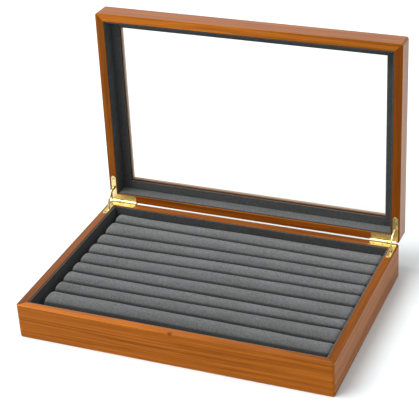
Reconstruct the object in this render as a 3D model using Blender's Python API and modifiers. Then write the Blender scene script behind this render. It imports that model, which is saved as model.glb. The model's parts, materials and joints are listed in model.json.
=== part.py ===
"""Glazed wooden display tray with nine velvet rolls and a hinged glass lid.

Metres, +Z up. The origin is the centre of the underside, X runs along the
rolls to the right, Y to the hinge side. The lid stands open, as displayed;
turning it by +OPEN_ANGLE about +X closes it.
"""

import math

import bmesh
import bpy
from mathutils import Vector

MM = 0.001

# Outer sizes.
WIDTH = 350.0 * MM
DEPTH = 232.5 * MM
BASE_HEIGHT = 39.5 * MM
LID_HEIGHT = 23.2 * MM
CLOSED_GAP = 0.5 * MM
OPEN_ANGLE = math.radians(91.8)

# Frames.
WALL = 9.2 * MM
CORNER_RADIUS = 2.2 * MM
EDGE_RADIUS = 1.2 * MM
PIECE_GAP = 0.3 * MM
MITRE_REACH = 30.0 * MM
CUT_MARGIN = 5.0 * MM
SHARP_ANGLE = math.radians(35)

# Base floor.
FLOOR_THICKNESS = 4.0 * MM
FLOOR_REBATE = 5.0 * MM

# Fabric linings.
LINING_THICKNESS = 1.5 * MM
BASE_LINING_DROP = 0.8 * MM

# Insert: a covered board with nine stuffed rolls.
BOARD_THICKNESS = 3.7 * MM
ROLL_COUNT = 9
ROLL_PITCH = 21.5 * MM
ROLL_LENGTH = 318.0 * MM
ROLL_TOP_BELOW_RIM = 4.0 * MM
ROLL_CROWN = 5.5 * MM
ROLL_END_BEVEL = 2.5 * MM
ROLLS_TO_BACK = 6.0 * MM
ROLLS_TO_RIGHT = 2.0 * MM

# Lid layers, as heights above the face that meets the base.
LID_LINING_BOTTOM = 0.6 * MM
RETAINER_BOTTOM = 15.1 * MM
RETAINER_THICKNESS = 2.0 * MM
RETAINER_REACH = 20.7 * MM
GLASS_BOTTOM = 17.4 * MM
GLASS_THICKNESS = 1.8 * MM
LIP_BOTTOM = 19.5 * MM
LIP_REACH = 22.0 * MM

# Side-rail hinges, as distances from the pivot and from the middle of the tray.
PIVOT_BEHIND_BACK = 0.7 * MM
PLATE_THICKNESS = 1.2 * MM
ARM_WIDTH = 6.0 * MM
ARM_CENTRE = WIDTH / 2 - 5.2 * MM
BASE_ARM_LENGTH = 30.2 * MM
LID_ARM_LENGTH = 32.2 * MM
BACK_ARM_END = 142.3 * MM
BACK_ARM_WIDTH = 8.7 * MM
KNUCKLE_RADIUS = 2.5 * MM
KNUCKLE_INNER_END = 141.6 * MM
KNUCKLE_SPLIT = 162.0 * MM
KNUCKLE_OUTER_END = 172.0 * MM
KNUCKLE_OVERLAP = 1.7 * MM
KNUCKLE_CLEARANCE = 2.9 * MM
PIN_RADIUS = 1.0 * MM
PIN_CLEARANCE = 0.1 * MM
SLOT_NEAR = 8.5 * MM
SLOT_FAR = 23.0 * MM
SLOT_WIDTH = 2.0 * MM

# Hinge stays: arcs about the pivot that slide in both arms.
STAY_RADIUS = 17.0 * MM
STAY_WIDTH = 3.0 * MM
STAY_THICKNESS = 1.2 * MM
STOP_RADIUS = 1.4 * MM
STOP_LENGTH = 2.8 * MM
STOP_ANGLE = math.radians(11.0)
STAY_END_ANGLE = math.radians(16.0)
POCKET_WIDTH = 3.4 * MM
POCKET_DEPTH = 17.6 * MM
POCKET_NEAR = 5.8 * MM
POCKET_FAR = 24.0 * MM

# Countersunk hinge screws.
SCREW_HEAD_RADIUS = 1.7 * MM
SCREW_SHANK_RADIUS = 0.9 * MM
SCREW_HEAD_RIM = 0.3 * MM
SCREW_POINT = 1.5 * MM
SCREW_LENGTH = 8.0 * MM
SCREW_SINK = 0.1 * MM
SCREW_HOLE_DEPTH = 10.0 * MM
SCREW_FROM_ARM_TIP = 3.6 * MM
BACK_SCREWS = (147.0 * MM, 157.0 * MM)
BACK_SCREW_DEPTH = 5.2 * MM

PIVOT = Vector((0.0, DEPTH / 2 + PIVOT_BEHIND_BACK, BASE_HEIGHT + CLOSED_GAP / 2))
LID_FACE = BASE_HEIGHT + CLOSED_GAP
SIDES = {"left": -1, "right": 1}


# Scene, collections and materials.

def clear_scene():
    for old in list(bpy.data.objects):
        bpy.data.objects.remove(old, do_unlink=True)


def new_collection(name):
    collection = bpy.data.collections.new(name)
    bpy.context.scene.collection.children.link(collection)
    return collection


clear_scene()
PARTS = new_collection("display_tray")
CUTTERS = new_collection("cutters")


def principled(name, colour, roughness, metallic=0.0, transmission=0.0):
    material = bpy.data.materials.new(name)
    material.use_nodes = True
    shader = material.node_tree.nodes["Principled BSDF"]
    shader.inputs["Base Color"].default_value = (*colour, 1.0)
    shader.inputs["Roughness"].default_value = roughness
    shader.inputs["Metallic"].default_value = metallic
    shader.inputs["Transmission Weight"].default_value = transmission
    return material


WOOD = principled("stained_wood", (0.36, 0.13, 0.035), 0.4)
FLOOR_BOARD = principled("floor_board", (0.30, 0.13, 0.05), 0.6)
DARK_FABRIC = principled("dark_fabric", (0.03, 0.032, 0.036), 0.9)
ROLL_VELVET = principled("roll_velvet", (0.14, 0.14, 0.145), 0.95)
BRASS = principled("brass", (0.82, 0.62, 0.25), 0.2, metallic=1.0)
GLASS = principled("glass", (1.0, 1.0, 1.0), 0.02, transmission=1.0)


# Building blocks.

def add_object(name, mesh, centre, material=None, parent=None):
    """Adds a mesh at a place given in the closed tray; a parent is a pivot empty."""
    obj = bpy.data.objects.new(name, mesh)
    (PARTS if material else CUTTERS).objects.link(obj)
    obj.location = Vector(centre) - (PIVOT if parent else Vector())
    obj.parent = parent
    if material:
        mesh.materials.append(material)
    else:
        obj.hide_render = True
        obj.display_type = "WIRE"
    return obj


def block_mesh(name, size):
    mesh = bpy.data.meshes.new(name)
    shape = bmesh.new()
    bmesh.ops.create_cube(shape, size=1.0)
    bmesh.ops.scale(shape, vec=size, verts=shape.verts)
    shape.to_mesh(mesh)
    shape.free()
    return mesh


def rod_mesh(name, radius, length, segments=32):
    """A cylinder along X."""
    mesh = bpy.data.meshes.new(name)
    shape = bmesh.new()
    bmesh.ops.create_cone(
        shape, cap_ends=True, segments=segments, radius1=radius, radius2=radius, depth=length
    )
    quarter = Vector((0.0, 0.0, 1.0)).rotation_difference(Vector((1.0, 0.0, 0.0)))
    bmesh.ops.rotate(shape, cent=(0, 0, 0), matrix=quarter.to_matrix(), verts=shape.verts)
    shape.to_mesh(mesh)
    shape.free()
    return mesh


def plate_mesh(name, outline, holes, thickness):
    """A flat plate in XY, centred on Z, from a closed outline and closed holes."""
    curve = bpy.data.curves.new(name, "CURVE")
    curve.dimensions = "2D"
    curve.fill_mode = "BOTH"
    curve.extrude = thickness / 2
    for points in (outline, *holes):
        spline = curve.splines.new("POLY")
        spline.points.add(len(points) - 1)
        for point, (x, y) in zip(spline.points, points):
            point.co = (x, y, 0.0, 1.0)
        spline.use_cyclic_u = True
    guide = bpy.data.objects.new(name + "_outline", curve)
    CUTTERS.objects.link(guide)
    evaluated = guide.evaluated_get(bpy.context.evaluated_depsgraph_get())
    mesh = bpy.data.meshes.new_from_object(evaluated)
    bpy.data.objects.remove(guide, do_unlink=True)
    weld(mesh)
    mesh.name = name
    return mesh


def weld(mesh):
    shape = bmesh.new()
    shape.from_mesh(mesh)
    bmesh.ops.remove_doubles(shape, verts=shape.verts, dist=0.001 * MM)
    bmesh.ops.recalc_face_normals(shape, faces=shape.faces)
    shape.to_mesh(mesh)
    shape.free()


def arc(centre, radius, start, end, steps):
    """Points on a circular arc, both ends included; angles in radians."""
    angles = [start + (end - start) * step / steps for step in range(steps + 1)]
    return [(centre[0] + radius * math.cos(a), centre[1] + radius * math.sin(a)) for a in angles]


def boolean(obj, other, operation="DIFFERENCE"):
    modifier = obj.modifiers.new(operation.lower(), "BOOLEAN")
    modifier.operation = operation
    modifier.object = other
    modifier.solver = "EXACT"


def bevel(obj, width, segments=2, limit="ANGLE"):
    modifier = obj.modifiers.new("bevel", "BEVEL")
    modifier.width = width
    modifier.segments = segments
    modifier.limit_method = limit


def smooth(mesh):
    mesh.shade_smooth()
    mesh.set_sharp_from_angle(angle=SHARP_ANGLE)


def pivot_empty(name, angle):
    empty = bpy.data.objects.new(name, None)
    PARTS.objects.link(empty)
    empty.location = PIVOT
    empty.rotation_euler = (-angle, 0.0, 0.0)
    return empty


# Frames: a rounded block, hollowed, and split at the mitres into four rails.

def rounded_block_mesh(name, height):
    """The outer block, with bevel weights: full on upright edges, less on the rest."""
    mesh = block_mesh(name, (WIDTH, DEPTH, height))
    weights = mesh.attributes.new("bevel_weight_edge", "FLOAT", "EDGE")
    for edge in mesh.edges:
        start, end = (mesh.vertices[i].co for i in edge.vertices)
        upright = abs(start.z - end.z) > height / 2
        weights.data[edge.index].value = 1.0 if upright else EDGE_RADIUS / CORNER_RADIUS
    return mesh


def mitre_wedge(name, side, bottom, height, parent):
    """Cutter that keeps one rail of a frame, ending just short of both mitres."""
    along_x = side in ("front", "back")
    span = WIDTH if along_x else DEPTH
    shrink = PIECE_GAP / math.sqrt(2)
    mesh = block_mesh(name, (1.0, 1.0, height + 2 * CUT_MARGIN))
    for vertex in mesh.vertices:
        outer = vertex.co.y < 0
        half = span / 2 + CUT_MARGIN if outer else span / 2 - MITRE_REACH
        vertex.co.x = math.copysign(half - shrink, vertex.co.x)
        vertex.co.y = -CUT_MARGIN if outer else MITRE_REACH
    turn = {"front": 0.0, "right": 0.5, "back": 1.0, "left": 1.5}[side] * math.pi
    face = (DEPTH if along_x else WIDTH) / 2
    centre = (face * math.sin(turn), -face * math.cos(turn), bottom + height / 2)
    wedge = add_object(name, mesh, centre, parent=parent)
    wedge.rotation_euler = (0.0, 0.0, turn)
    return wedge


def frame_rails(prefix, bottom, height, hollows, parent=None):
    rails = {}
    for side in ("front", "right", "back", "left"):
        name = f"{prefix}_{side}_rail"
        mesh = rounded_block_mesh(name, height)
        rail = add_object(name, mesh, (0.0, 0.0, bottom + height / 2), WOOD, parent)
        bevel(rail, CORNER_RADIUS, segments=3, limit="WEIGHT")
        for hollow in hollows:
            boolean(rail, hollow)
        wedge = mitre_wedge(f"cut_{name}", side, bottom, height, parent)
        boolean(rail, wedge, "INTERSECT")
        rails[side] = rail
    return rails


def hollow_block(name, inset, bottom, top, parent=None):
    """Cutter for the inside of a frame, a given inset from the outer faces."""
    size = (WIDTH - 2 * inset, DEPTH - 2 * inset, top - bottom)
    return add_object(name, block_mesh(name, size), (0.0, 0.0, (bottom + top) / 2), parent=parent)


def panel(name, inset, bottom, thickness, material, parent=None):
    size = (WIDTH - 2 * inset, DEPTH - 2 * inset, thickness)
    centre = (0.0, 0.0, bottom + thickness / 2)
    return add_object(name, block_mesh(name, size), centre, material, parent)


def ring_strips(prefix, inner, outer, bottom, top, parent=None):
    """Four fabric strips round the inside; insets are measured from the outer faces."""
    thickness = outer - inner
    long_span = WIDTH - 2 * (inner + thickness + PIECE_GAP)
    short_span = DEPTH - 2 * inner
    x = WIDTH / 2 - inner - thickness / 2
    y = DEPTH / 2 - inner - thickness / 2
    z = (bottom + top) / 2
    height = top - bottom
    for side, place, size in (
        ("front", (0.0, -y, z), (long_span, thickness, height)),
        ("back", (0.0, y, z), (long_span, thickness, height)),
        ("left", (-x, 0.0, z), (thickness, short_span, height)),
        ("right", (x, 0.0, z), (thickness, short_span, height)),
    ):
        name = f"{prefix}_{side}"
        add_object(name, block_mesh(name, size), place, DARK_FABRIC, parent)


# Base.

def build_base():
    rebate = WALL - FLOOR_REBATE
    well = hollow_block("cut_base_well", WALL, -CUT_MARGIN, BASE_HEIGHT + CUT_MARGIN)
    lining_bottom = FLOOR_THICKNESS + PIECE_GAP
    floor_seat = hollow_block("cut_floor_seat", rebate, -CUT_MARGIN, lining_bottom)
    rails = frame_rails("base", 0.0, BASE_HEIGHT, (well, floor_seat))
    panel("base_floor", rebate + PIECE_GAP, 0.0, FLOOR_THICKNESS, FLOOR_BOARD)
    inner = WALL + PIECE_GAP
    ring_strips(
        "base_lining", inner, inner + LINING_THICKNESS, lining_bottom, BASE_HEIGHT - BASE_LINING_DROP
    )
    return rails


def roll_mesh(name, width, height):
    """A lying roll: upright sides, a half-elliptical crown and rounded ends."""
    half = width / 2
    crown = [(x, y * ROLL_CROWN / half) for x, y in arc((0.0, 0.0), half, 0.0, math.pi, 12)]
    outline = [(-half, ROLL_CROWN - height), (half, ROLL_CROWN - height), *crown]
    mesh = plate_mesh(name, outline, (), ROLL_LENGTH)
    across_x = ((0.0, 0.0, 1.0), (1.0, 0.0, 0.0), (0.0, 1.0, 0.0))
    for vertex in mesh.vertices:
        vertex.co = [vertex.co.dot(Vector(row)) for row in across_x]
    return mesh


def build_insert():
    board_bottom = FLOOR_THICKNESS + PIECE_GAP
    inset = WALL + 2 * PIECE_GAP + LINING_THICKNESS
    panel("insert_board", inset, board_bottom, BOARD_THICKNESS, DARK_FABRIC)
    roll_bottom = board_bottom + BOARD_THICKNESS + PIECE_GAP
    roll_top = BASE_HEIGHT - ROLL_TOP_BELOW_RIM
    for index in range(ROLL_COUNT):
        name = f"velvet_roll_{index + 1}"
        y = ROLLS_TO_BACK + (index - (ROLL_COUNT - 1) / 2) * ROLL_PITCH
        mesh = roll_mesh(name, ROLL_PITCH - PIECE_GAP, roll_top - roll_bottom)
        roll = add_object(name, mesh, (ROLLS_TO_RIGHT, y, roll_top - ROLL_CROWN), ROLL_VELVET)
        bevel(roll, ROLL_END_BEVEL)
        smooth(mesh)


# Lid.

def build_lid(pivot):
    top = LID_FACE + LID_HEIGHT
    tray = hollow_block("cut_lid_tray", WALL, LID_FACE - CUT_MARGIN, LID_FACE + LIP_BOTTOM, pivot)
    window = hollow_block("cut_lid_window", LIP_REACH, LID_FACE, top + CUT_MARGIN, pivot)
    rails = frame_rails("lid", LID_FACE, LID_HEIGHT, (tray, window), pivot)
    inner = WALL + PIECE_GAP
    panel("lid_glass", inner, LID_FACE + GLASS_BOTTOM, GLASS_THICKNESS, GLASS, pivot)
    ring_strips(
        "lid_lining", inner, inner + LINING_THICKNESS,
        LID_FACE + LID_LINING_BOTTOM, LID_FACE + RETAINER_BOTTOM - PIECE_GAP, pivot,
    )
    ring_strips(
        "glass_retainer", inner, RETAINER_REACH,
        LID_FACE + RETAINER_BOTTOM, LID_FACE + RETAINER_BOTTOM + RETAINER_THICKNESS, pivot,
    )
    return rails


# Hinges. Plate outlines are drawn with the pivot line at y = 0 and x measured
# from the middle of the tray to the right; side -1 mirrors them to the left.

def leaf_outline(side, arm_length, knuckle, grow=0.0):
    """An L: an arm forwards along the side rail and one along the back rail."""
    outer = ARM_CENTRE + ARM_WIDTH / 2 + grow
    inner = ARM_CENTRE - ARM_WIDTH / 2 - grow
    tip = ARM_WIDTH / 2 - arm_length
    near, far = knuckle
    attached = -KNUCKLE_OVERLAP
    clear = -KNUCKLE_CLEARANCE
    middle = KNUCKLE_SPLIT
    inboard = attached if near < middle else clear
    outboard = attached if far > middle else clear
    points = [(outer, outboard)]
    points += arc((ARM_CENTRE, tip), ARM_WIDTH / 2 + grow, 0.0, -math.pi, 8)
    points += [(inner, -BACK_ARM_WIDTH - grow), (BACK_ARM_END - grow, -BACK_ARM_WIDTH - grow)]
    points += [(BACK_ARM_END - grow, inboard)]
    points += [(middle, inboard), (middle, outboard)] if inboard != outboard else []
    return [(side * x, y) for x, y in points]


def slot_outline(side):
    half = SLOT_WIDTH / 2
    near = arc((ARM_CENTRE, -SLOT_NEAR - half), half, 0.0, math.pi, 6)
    far = arc((ARM_CENTRE, -SLOT_FAR + half), half, math.pi, 2 * math.pi, 6)
    return [(side * x, y) for x, y in near + far]


def screw_places(side, arm_length):
    places = [(ARM_CENTRE, SCREW_FROM_ARM_TIP - arm_length)]
    places += [(x, -BACK_SCREW_DEPTH) for x in BACK_SCREWS]
    return [(side * x, y) for x, y in places]


def screw_hole(place):
    return arc(place, SCREW_HEAD_RADIUS + PIECE_GAP, 0.0, 2 * math.pi * 15 / 16, 15)


def pivot_rod(name, side, radius, near, far, material=None, parent=None):
    """A rod or a cylindrical cutter on the pivot line, between two distances."""
    mesh = rod_mesh(name, radius, far - near)
    return add_object(name, mesh, PIVOT + Vector((side * (near + far) / 2, 0, 0)), material, parent)


def hinge_leaf(name, side, up, arm_length, knuckle, parent=None):
    """One leaf: a flush plate with a rolled knuckle bored for the pin; up is -1 or 1."""
    holes = [slot_outline(side)] + [screw_hole(p) for p in screw_places(side, arm_length)]
    mesh = plate_mesh(name, leaf_outline(side, arm_length, knuckle), holes, PLATE_THICKNESS)
    height = up * (CLOSED_GAP + PLATE_THICKNESS) / 2
    leaf = add_object(name, mesh, PIVOT + Vector((0.0, 0.0, height)), BRASS, parent)
    near, far = knuckle
    barrel = pivot_rod(f"add_{name}_knuckle", side, KNUCKLE_RADIUS, near, far, parent=parent)
    bore_radius = PIN_RADIUS + PIN_CLEARANCE
    bore = pivot_rod(f"cut_{name}_bore", side, bore_radius, near - MM, far + MM, parent=parent)
    boolean(leaf, barrel, "UNION")
    boolean(leaf, bore)
    return leaf


def screw_mesh(name):
    """Half section of a countersunk wood screw: head at the origin, shank along -Z."""
    neck = SCREW_HEAD_RADIUS - SCREW_SHANK_RADIUS
    profile = (
        (0.0, 0.0),
        (SCREW_HEAD_RADIUS, 0.0),
        (SCREW_HEAD_RADIUS, -SCREW_HEAD_RIM),
        (SCREW_SHANK_RADIUS, -SCREW_HEAD_RIM - neck),
        (SCREW_SHANK_RADIUS, -SCREW_LENGTH + SCREW_POINT),
        (0.0, -SCREW_LENGTH),
    )
    mesh = bpy.data.meshes.new(name)
    shape = bmesh.new()
    rings = [shape.verts.new((radius, 0.0, z)) for radius, z in profile]
    for first, second in zip(rings, rings[1:]):
        shape.edges.new((first, second))
    shape.to_mesh(mesh)
    shape.free()
    return mesh


def turned(obj, steps=16):
    modifier = obj.modifiers.new("turn", "SCREW")
    modifier.axis = "Z"
    modifier.steps = steps
    modifier.render_steps = steps
    modifier.use_merge_vertices = True
    modifier.merge_threshold = 0.001 * MM
    modifier.use_smooth_shade = False


def hinge_screws(prefix, side, up, arm_length, parent=None):
    """Screws with their heads just under the plate's face."""
    face = up * (CLOSED_GAP / 2 + SCREW_SINK)
    for number, (x, y) in enumerate(screw_places(side, arm_length), start=1):
        name = f"{prefix}_screw_{number}"
        screw = add_object(name, screw_mesh(name), PIVOT + Vector((x, y, face)), BRASS, parent)
        screw.rotation_euler = (math.pi if up > 0 else 0.0, 0.0, 0.0)
        turned(screw)


def cut_rails_for_leaf(prefix, side, up, arm_length, rails, parent=None):
    """Leaf recess, barrel relief, stay pocket and screw holes in the side and back rails."""
    recess_depth = PLATE_THICKNESS + PIECE_GAP
    both = (KNUCKLE_INNER_END, KNUCKLE_OUTER_END)
    outline = leaf_outline(side, arm_length, both, PIECE_GAP)
    recess_mesh = plate_mesh(f"cut_{prefix}_recess", outline, (), 2 * recess_depth)
    face = Vector((0.0, 0.0, up * CLOSED_GAP / 2))
    recess = add_object(recess_mesh.name, recess_mesh, PIVOT + face, parent=parent)
    relief = pivot_rod(
        f"cut_{prefix}_barrel", side, KNUCKLE_RADIUS + PIECE_GAP,
        both[0] - PIECE_GAP, both[1] + PIECE_GAP, parent=parent,
    )
    pocket_name = f"cut_{prefix}_stay_pocket"
    pocket_size = (POCKET_WIDTH, POCKET_FAR - POCKET_NEAR, POCKET_DEPTH)
    pocket_at = Vector((side * ARM_CENTRE, -(POCKET_NEAR + POCKET_FAR) / 2, up * POCKET_DEPTH / 2))
    pocket_mesh = block_mesh(pocket_name, pocket_size)
    pocket = add_object(pocket_name, pocket_mesh, PIVOT + pocket_at, parent=parent)
    cutters = [recess, relief, pocket]
    for number, (x, y) in enumerate(screw_places(side, arm_length), start=1):
        name = f"cut_{prefix}_screw_{number}"
        mesh = rod_mesh(name, SCREW_HEAD_RADIUS + PIECE_GAP, SCREW_HOLE_DEPTH, segments=16)
        middle = PIVOT + Vector((x, y, up * SCREW_HOLE_DEPTH / 2))
        hole = add_object(name, mesh, middle, parent=parent)
        hole.rotation_euler = (0.0, math.pi / 2, 0.0)
        cutters.append(hole)
    for rail in rails:
        for cutter in cutters:
            boolean(rail, cutter)


def stay_outline():
    """A band along an arc about the origin, symmetric about -Y, with rounded ends."""
    half = OPEN_ANGLE / 2 + STAY_END_ANGLE
    middle = -math.pi / 2
    inner = STAY_RADIUS - STAY_WIDTH / 2
    outer = STAY_RADIUS + STAY_WIDTH / 2
    points = arc((0.0, 0.0), outer, middle - half, middle + half, 24)
    points += arc((0.0, 0.0), inner, middle + half, middle - half, 24)
    return points


def hinge_stay(name, side, pivot):
    """A brass arc in the plane across the hinge line, with a fixed stop at each end."""
    mesh = plate_mesh(name, stay_outline(), (), STAY_THICKNESS)
    to_yz = ((0.0, 0.0, 1.0), (0.0, 1.0, 0.0), (-1.0, 0.0, 0.0))
    for vertex in mesh.vertices:
        vertex.co = [vertex.co.dot(Vector(row)) for row in to_yz]
    stay = add_object(name, mesh, PIVOT + Vector((side * ARM_CENTRE, 0.0, 0.0)), BRASS, pivot)
    for number, sign in enumerate((-1, 1), start=1):
        angle = sign * (OPEN_ANGLE / 2 + STOP_ANGLE)
        y = -STAY_RADIUS * math.cos(angle)
        z = STAY_RADIUS * math.sin(angle)
        stop_name = f"add_{name}_stop_{number}"
        stop_mesh = rod_mesh(stop_name, STOP_RADIUS, STOP_LENGTH, segments=16)
        at = PIVOT + Vector((side * ARM_CENTRE, y, z))
        boolean(stay, add_object(stop_name, stop_mesh, at, parent=pivot), "UNION")


def build_hinges(base_rails, lid_rails, lid_pivot, stay_pivot):
    inner_knuckle = (KNUCKLE_INNER_END, KNUCKLE_SPLIT - PIECE_GAP / 2)
    outer_knuckle = (KNUCKLE_SPLIT + PIECE_GAP / 2, KNUCKLE_OUTER_END)
    for word, side in SIDES.items():
        base_name = f"{word}_hinge_base_leaf"
        lid_name = f"{word}_hinge_lid_leaf"
        hinge_leaf(base_name, side, -1, BASE_ARM_LENGTH, inner_knuckle)
        hinge_leaf(lid_name, side, 1, LID_ARM_LENGTH, outer_knuckle, lid_pivot)
        pivot_rod(f"{word}_hinge_pin", side, PIN_RADIUS, KNUCKLE_INNER_END, KNUCKLE_OUTER_END, BRASS)
        hinge_stay(f"{word}_hinge_stay", side, stay_pivot)
        hinge_screws(base_name, side, -1, BASE_ARM_LENGTH)
        hinge_screws(lid_name, side, 1, LID_ARM_LENGTH, lid_pivot)
        cut_rails_for_leaf(
            base_name, side, -1, BASE_ARM_LENGTH, (base_rails["back"], base_rails[word])
        )
        cut_rails_for_leaf(
            lid_name, side, 1, LID_ARM_LENGTH, (lid_rails["back"], lid_rails[word]), lid_pivot
        )


def main():
    lid_pivot = pivot_empty("lid_pivot", OPEN_ANGLE)
    stay_pivot = pivot_empty("stay_pivot", OPEN_ANGLE / 2)
    base_rails = build_base()
    build_insert()
    lid_rails = build_lid(lid_pivot)
    build_hinges(base_rails, lid_rails, lid_pivot, stay_pivot)


main()
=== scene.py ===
"""Finished look of the display tray: stained pine, velvet rolls, brass hinges and soft light.

Everything is in metres in the frame of the CAD. Lid pieces are drawn for the closed lid and
placed by the object's own transform, so that textures follow the wood and not the room.
"""

import json
import math

import bmesh
import bpy
from mathutils import Matrix, Vector, noise

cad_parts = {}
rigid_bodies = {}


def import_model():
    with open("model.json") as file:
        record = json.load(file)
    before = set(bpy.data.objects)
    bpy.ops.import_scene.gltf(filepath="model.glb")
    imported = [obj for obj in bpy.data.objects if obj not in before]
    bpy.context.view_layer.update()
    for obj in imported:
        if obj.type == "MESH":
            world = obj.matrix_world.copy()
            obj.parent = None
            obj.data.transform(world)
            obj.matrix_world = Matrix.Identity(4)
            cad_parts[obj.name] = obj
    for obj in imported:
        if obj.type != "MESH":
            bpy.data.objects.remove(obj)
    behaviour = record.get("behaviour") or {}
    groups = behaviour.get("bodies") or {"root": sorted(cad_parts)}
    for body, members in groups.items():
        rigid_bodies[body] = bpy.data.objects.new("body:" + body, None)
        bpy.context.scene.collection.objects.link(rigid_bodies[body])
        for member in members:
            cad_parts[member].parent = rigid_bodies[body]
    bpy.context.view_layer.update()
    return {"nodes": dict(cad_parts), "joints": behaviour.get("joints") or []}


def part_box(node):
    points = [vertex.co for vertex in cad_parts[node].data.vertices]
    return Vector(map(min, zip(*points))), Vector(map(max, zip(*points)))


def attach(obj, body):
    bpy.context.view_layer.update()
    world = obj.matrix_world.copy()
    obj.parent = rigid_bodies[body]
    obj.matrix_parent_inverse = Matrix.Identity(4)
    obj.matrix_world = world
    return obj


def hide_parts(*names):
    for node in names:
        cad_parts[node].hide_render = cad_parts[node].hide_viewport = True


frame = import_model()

MM = 0.001

# The hinge line and the lid's opening, from the joint.
LID_JOINT = next(joint for joint in frame["joints"] if joint["name"] == "lid_hinge")
PIVOT = Vector(LID_JOINT["pos_m"])
OPEN_ANGLE = math.radians(LID_JOINT["range_deg"][1])

# Frames, as insets from the outer faces and heights. Those of the lip, the pane, the
# retaining strips and the lid's linings are from the lower face of the closed lid.
WIDTH = 2 * abs(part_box("base_left_rail")[0].x)
DEPTH = 2 * abs(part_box("base_front_rail")[0].y)
BASE_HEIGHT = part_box("base_front_rail")[1].z
LID_FACE = 2 * PIVOT.z - BASE_HEIGHT
LID_HEIGHT = 23.2 * MM
WALL = 9.2 * MM
CORNER_RADIUS = 3.0 * MM
EDGE_RADIUS = 1.2 * MM
MEETING_EDGE_RADIUS = 0.30 * MM
INNER_EASE = 0.5 * MM
MITRE_GAP = 0.05 * MM
MITRE_REACH = 30.0 * MM
MARGIN = 5.0 * MM
LIP_BOTTOM = 19.5 * MM
LIP_REACH = 22.0 * MM
PANE_BOTTOM = 17.4 * MM
PANE_THICKNESS = 1.8 * MM
RETAINER_BOTTOM = 15.1 * MM
RETAINER_TOP = 17.1 * MM
RETAINER_REACH = 20.7 * MM
LID_LINING_BOTTOM = 0.6 * MM
LID_LINING_TOP = 14.9 * MM
FLOOR_THICKNESS = 4.0 * MM
FLOOR_GAP = 0.15 * MM
LINING_INSET = WALL + 0.12 * MM
LINING_THICKNESS = 1.6 * MM

# Hinges, as distances from the pivot line and from the middle of the tray.
PLATE_THICKNESS = 1.2 * MM
PLATE_EASE = 0.18 * MM
ARM_WIDTH = 6.0 * MM
ARM_CENTRE = WIDTH / 2 - 5.2 * MM
BASE_ARM_LENGTH = 30.2 * MM
LID_ARM_LENGTH = 32.2 * MM
BACK_ARM_END = 142.3 * MM
BACK_ARM_WIDTH = 8.7 * MM
KNUCKLE_RADIUS = 2.5 * MM
KNUCKLE_EASE = 0.35 * MM
KNUCKLE_INNER_END = 141.6 * MM
KNUCKLE_SPLIT = 162.0 * MM
KNUCKLE_OUTER_END = 172.0 * MM
KNUCKLE_GAP = 0.25 * MM
KNUCKLE_OVERLAP = 1.7 * MM
KNUCKLE_CLEARANCE = 2.9 * MM
PIN_RADIUS = 1.0 * MM
BORE_GAP = 0.06 * MM
SLOT_NEAR = 15.1 * MM
SLOT_FAR = 18.9 * MM
SLOT_WIDTH = 2.0 * MM
INLAY_GAP = 0.12 * MM
STAY_RADIUS = 17.0 * MM
STAY_WIDTH = 3.0 * MM
STAY_THICKNESS = 1.2 * MM
STOP_RADIUS = 1.4 * MM
STOP_LENGTH = 2.8 * MM
STOP_ANGLE = math.radians(11.0)
STAY_END_ANGLE = math.radians(16.0)
POCKET_WIDTH = 3.4 * MM
POCKET_DEPTH = 17.6 * MM
POCKET_NEAR = 5.8 * MM
POCKET_FAR = 24.0 * MM
SCREW_HEAD_RADIUS = 1.7 * MM
SCREW_SHANK_RADIUS = 0.9 * MM
SCREW_LENGTH = 8.0 * MM
SCREW_RECESS = 0.1 * MM
SCREW_FROM_ARM_TIP = 3.6 * MM
BACK_SCREWS = (147.0 * MM, 157.0 * MM)
BACK_SCREW_DEPTH = 5.2 * MM

SIDES = (("left", -1), ("right", 1))
SCENE = bpy.context.scene


# Objects.

def add(name, mesh, material=None):
    obj = bpy.data.objects.new(name, mesh)
    SCENE.collection.objects.link(obj)
    if material:
        mesh.materials.clear()
        mesh.materials.append(material)
    return obj


def drop(*objects):
    for obj in objects:
        bpy.data.objects.remove(obj, do_unlink=True)


def applied(obj):
    """The object's mesh with its modifiers made final."""
    bpy.context.view_layer.update()
    evaluated = obj.evaluated_get(bpy.context.evaluated_depsgraph_get())
    mesh = bpy.data.meshes.new_from_object(evaluated)
    obj.modifiers.clear()
    obj.data = mesh
    return mesh


def shade(obj, sharp=32.0):
    """Smooth shading that keeps flat faces flat, with hard edges above an angle."""
    mesh = obj.data
    mesh.shade_smooth()
    mesh.set_sharp_from_angle(angle=math.radians(sharp))
    modifier = obj.modifiers.new("flat faces", "WEIGHTED_NORMAL")
    modifier.keep_sharp = True
    modifier.weight = 100
    applied(obj)


def opened(angle=OPEN_ANGLE):
    """Takes a place in the closed tray to its place with the lid open by an angle."""
    turn = Matrix.Rotation(-angle, 4, "X")
    return Matrix.Translation(PIVOT) @ turn @ Matrix.Translation(-PIVOT)


OPEN = opened()
HALF_OPEN = opened(OPEN_ANGLE / 2)


def finish(obj, node, place=None):
    """The piece stands for a CAD node and rides on that node's body."""
    obj.name = f"{node}_finish"
    if place:
        obj.matrix_world = place
    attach(obj, frame["nodes"][node].parent.name.split(":")[1])
    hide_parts(node)
    return obj


def boolean(obj, other, operation="DIFFERENCE"):
    modifier = obj.modifiers.new("cut", "BOOLEAN")
    modifier.operation = operation
    modifier.object = other
    modifier.solver = "EXACT"


# Meshes.

def arc(centre, radius, start, end, steps):
    angles = [start + (end - start) * step / steps for step in range(steps + 1)]
    return [(centre[0] + radius * math.cos(a), centre[1] + radius * math.sin(a)) for a in angles]


def ring(half_x, half_y, radius, steps=6):
    """Points round a rectangle with round corners."""
    points = []
    for quarter, (sx, sy) in enumerate(((1, 1), (-1, 1), (-1, -1), (1, -1))):
        centre = (sx * (half_x - radius), sy * (half_y - radius))
        start = quarter * math.pi / 2
        points += arc(centre, radius, start, start + math.pi / 2, steps)
    return points


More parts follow.
